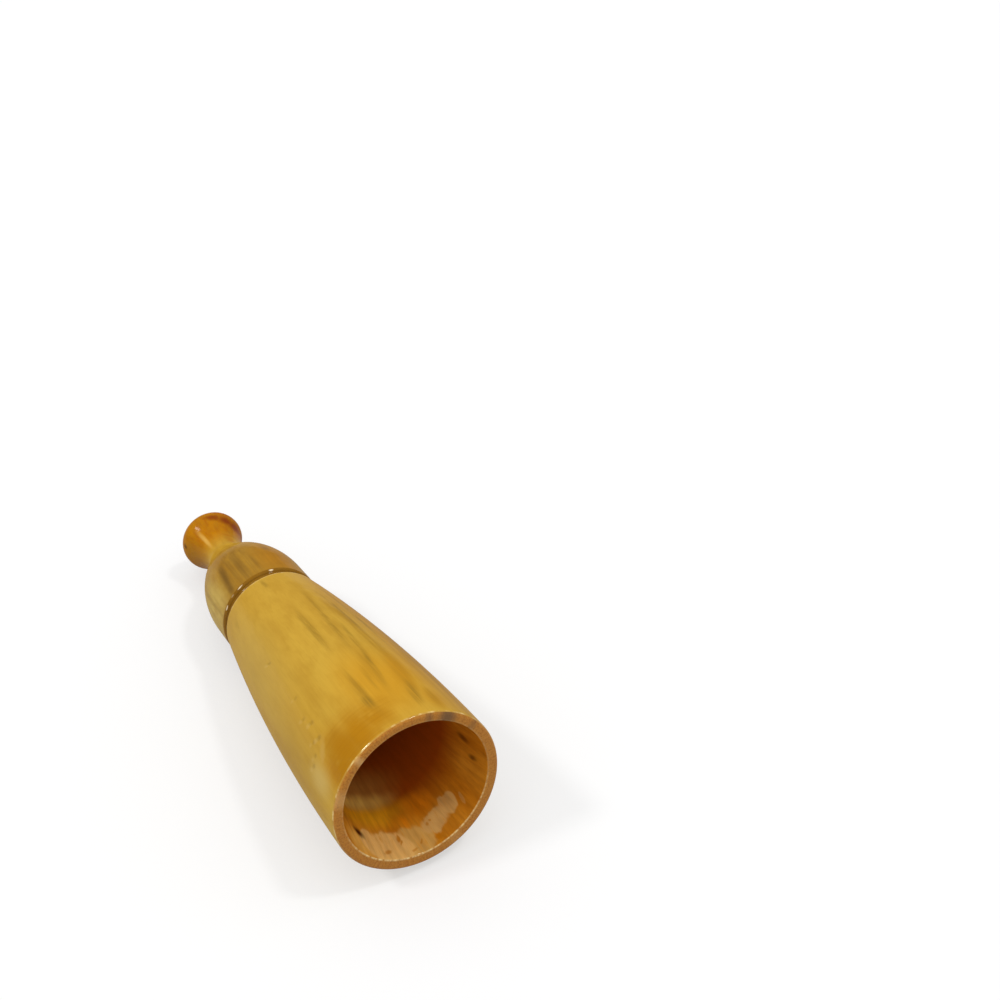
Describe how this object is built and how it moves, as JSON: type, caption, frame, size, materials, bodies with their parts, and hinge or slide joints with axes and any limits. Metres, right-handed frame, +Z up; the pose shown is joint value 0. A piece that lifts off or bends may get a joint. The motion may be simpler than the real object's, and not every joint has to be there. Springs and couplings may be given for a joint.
{
  "type": "bird call",
  "caption": "Turned wooden bird call: a bell-shaped horn with a corked push-in mouthpiece that has a groove, dome, neck and flared lip, and a brass beating reed inside.",
  "frame": {"origin": "on the floor that the call lies on, under the middle of its box", "axes": "+X horizontal, towards the bell's mouth, +Z up; the call's own axis leans down 5.19 degrees towards the lip, because the bell is fatter than the mouthpiece"},
  "size_m": [0.1196, 0.0342, 0.0361],
  "materials": {
    "varnished_boxwood": "turned, glossy clear varnish",
    "bare_boxwood": "turned, unvarnished",
    "cork": "sanded cork sheet",
    "brass": "rolled, dull"
  },
  "bodies": {
    "bell": {"bell": "varnished_boxwood"},
    "head": {"mouthpiece": "varnished_boxwood", "tenon_cork": "cork"},
    "reed_unit": {"reed_block": "bare_boxwood", "reed_shallot": "brass", "reed_tongue_root": "brass", "reed_wedge": "bare_boxwood"},
    "reed_leaf": {"reed_tongue": "brass"}
  },
  "joints": [
    {"name": "head_pull", "type": "slide", "parent": "bell", "child": "head", "axis": [-0.9959, 0, -0.0904], "range_m": [0, 0.03]},
    {"name": "reed_pull", "type": "slide", "parent": "head", "child": "reed_unit", "axis": [0.9959, 0, 0.0904], "range_m": [0, 0.028]},
    {"name": "reed_beat", "type": "hinge", "parent": "reed_unit", "child": "reed_leaf", "pos_m": [-0.00728, 0, 0.01355], "axis": [0, -1, 0], "range_deg": [0, 4.93], "stiffness_Nm_per_rad": 0.0005}
  ]
}
